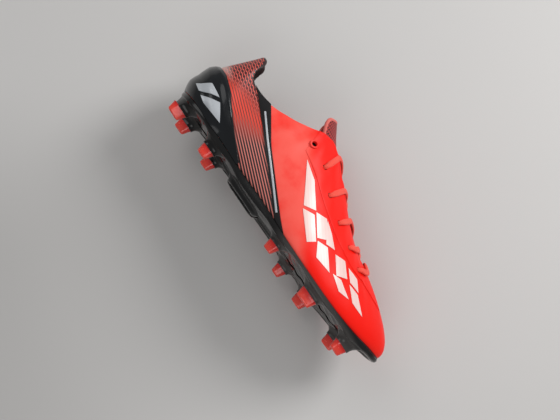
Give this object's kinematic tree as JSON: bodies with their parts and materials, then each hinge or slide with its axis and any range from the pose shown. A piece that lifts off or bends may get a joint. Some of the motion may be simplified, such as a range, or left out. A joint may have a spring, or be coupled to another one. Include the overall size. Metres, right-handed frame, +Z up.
{
  "type": "soccer cleat",
  "caption": "Low-cut right-foot soccer cleat: thin synthetic upper, external heel cup, moulded plate with bladed studs, mesh tongue and flat laces.",
  "frame": {"origin": "the middle of the boot's box in plan, at ground level under the studs", "axes": "+X from heel to toe, +Y to the inner (medial) side, +Z up"},
  "size_m": [0.2784, 0.09, 0.112],
  "materials": {
    "stud_red": "translucent moulded TPU, clear gloss",
    "sole_black": "moulded nylon, gloss black",
    "foam_grey": "open-cell foam",
    "board_cream": "woven insole board",
    "sockliner_dark": "brushed textile over foam",
    "skin_red": "thin smooth synthetic, satin",
    "stripe_mesh": "printed fine ripstop, red on black",
    "cup_black": "moulded TPU, gloss",
    "puff_grey": "thermoplastic toe puff",
    "lining_dark": "brushed microfibre",
    "tongue_mesh": "two-tone knitted mesh",
    "binding_red": "folded elastic tape",
    "lace_red": "flat woven polyester",
    "aglet_clear": "shrunk film",
    "band_black": "welded film, gloss",
    "film_silver": "printed film, silver",
    "eyestay_red": "welded film, satin",
    "film_white": "printed film, satin white"
  },
  "bodies": {
    "boot": {"outsole_plate": "sole_black", "stud_heel_rear_lateral": "stud_red", "stud_heel_front_lateral": "stud_red", "stud_fore_rear_lateral": "stud_red", "stud_fore_middle_lateral": "stud_red", "stud_fore_front_lateral": "stud_red", "stud_heel_rear_medial": "stud_red", "stud_heel_front_medial": "stud_red", "stud_fore_rear_medial": "stud_red", "stud_fore_middle_medial": "stud_red", "stud_fore_front_medial": "stud_red", "pocket_filler": "foam_grey", "strobel_board": "board_cream", "upper_skin": "skin_red", "rear_quarter": "stripe_mesh", "heel_cup": "cup_black", "toe_puff": "puff_grey", "forefoot_lining": "lining_dark", "collar_lining": "lining_dark", "collar_foam": "foam_grey", "lateral_band": "band_black", "lateral_pinstripe": "film_silver", "lateral_eyestay": "eyestay_red", "lateral_eyelet_ring": "eyestay_red", "lateral_graphic": "film_white", "lateral_heel_badge": "film_silver", "medial_band": "band_black", "medial_pinstripe": "film_silver", "medial_eyestay": "eyestay_red", "medial_eyelet_ring": "eyestay_red", "medial_graphic": "film_white", "medial_heel_badge": "film_silver", "tongue": "tongue_mesh", "lace": "lace_red", "aglets": "aglet_clear"},
    "tongue_flap": {"tongue_top": "tongue_mesh", "tongue_binding": "binding_red"},
    "insole": {"sockliner": "sockliner_dark"}
  },
  "joints": [
    {"name": "tongue_fold", "type": "hinge", "parent": "boot", "child": "tongue_flap", "pos_m": [-0.03044, 0.00015, 0.1038], "axis": [0, 1, 0], "range_deg": [0, 55]},
    {"name": "sockliner_lift", "type": "hinge", "parent": "boot", "child": "insole", "pos_m": [0.12556, 0.00015, 0.0279], "axis": [0, 1, 0], "range_deg": [0, 3]}
  ]
}
